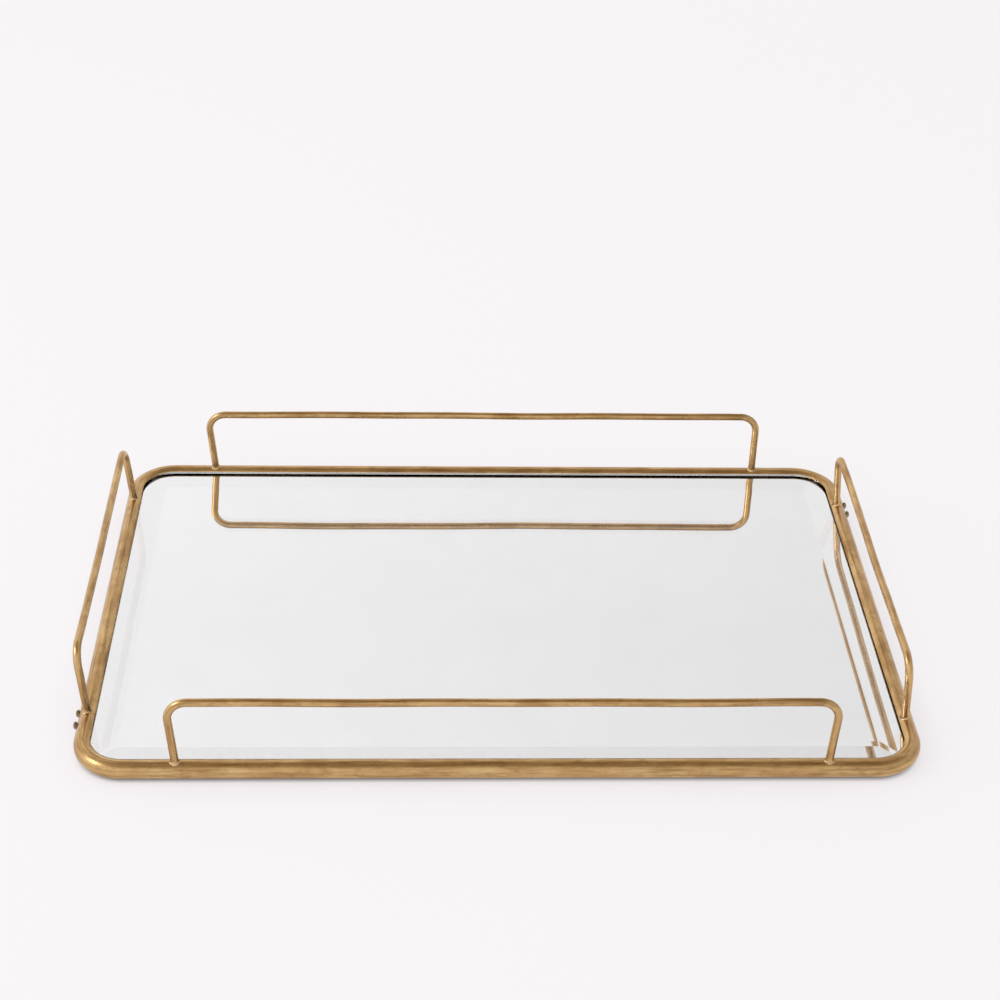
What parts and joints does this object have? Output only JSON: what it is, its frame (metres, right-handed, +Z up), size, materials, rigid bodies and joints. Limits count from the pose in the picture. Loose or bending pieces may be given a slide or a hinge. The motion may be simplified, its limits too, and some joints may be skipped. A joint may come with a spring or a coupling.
{
  "type": "vanity tray",
  "caption": "Rectangular mirrored vanity tray: slotted brass tube frame with rounded corners, bevelled mirror, and bent wire rails and handles.",
  "frame": {"origin": "centre of the tray's footprint, on the plane that its foot pads stand on", "axes": "+Z up, X along the long side, -Y is the front, where a rail stands"},
  "size_m": [0.461, 0.305, 0.052],
  "materials": {
    "aged_brass": "brushed and aged",
    "braze": "polished by hand",
    "plain_brass": "as drawn",
    "screw_brass": "darkened",
    "mirror": "polished",
    "painted_board": "matt paint",
    "rubber": "matt"
  },
  "bodies": {
    "root": {"frame_half_front": "aged_brass", "frame_half_rear": "aged_brass", "front_rail": "aged_brass", "rear_rail": "aged_brass", "left_handle": "aged_brass", "right_handle": "aged_brass", "mirror_glass": "mirror", "backing_board": "painted_board", "splice_bar_left": "plain_brass", "splice_bar_right": "plain_brass", "splice_screw_left_front": "screw_brass", "splice_screw_left_rear": "screw_brass", "splice_screw_right_front": "screw_brass", "splice_screw_right_rear": "screw_brass", "foot_pad_front_left": "rubber", "foot_pad_front_right": "rubber", "foot_pad_rear_left": "rubber", "foot_pad_rear_right": "rubber", "braze_front_rail_left": "braze", "braze_front_rail_right": "braze", "braze_rear_rail_left": "braze", "braze_rear_rail_right": "braze", "braze_left_handle_front": "braze", "braze_left_handle_rear": "braze", "braze_right_handle_front": "braze", "braze_right_handle_rear": "braze"}
  },
  "joints": []
}
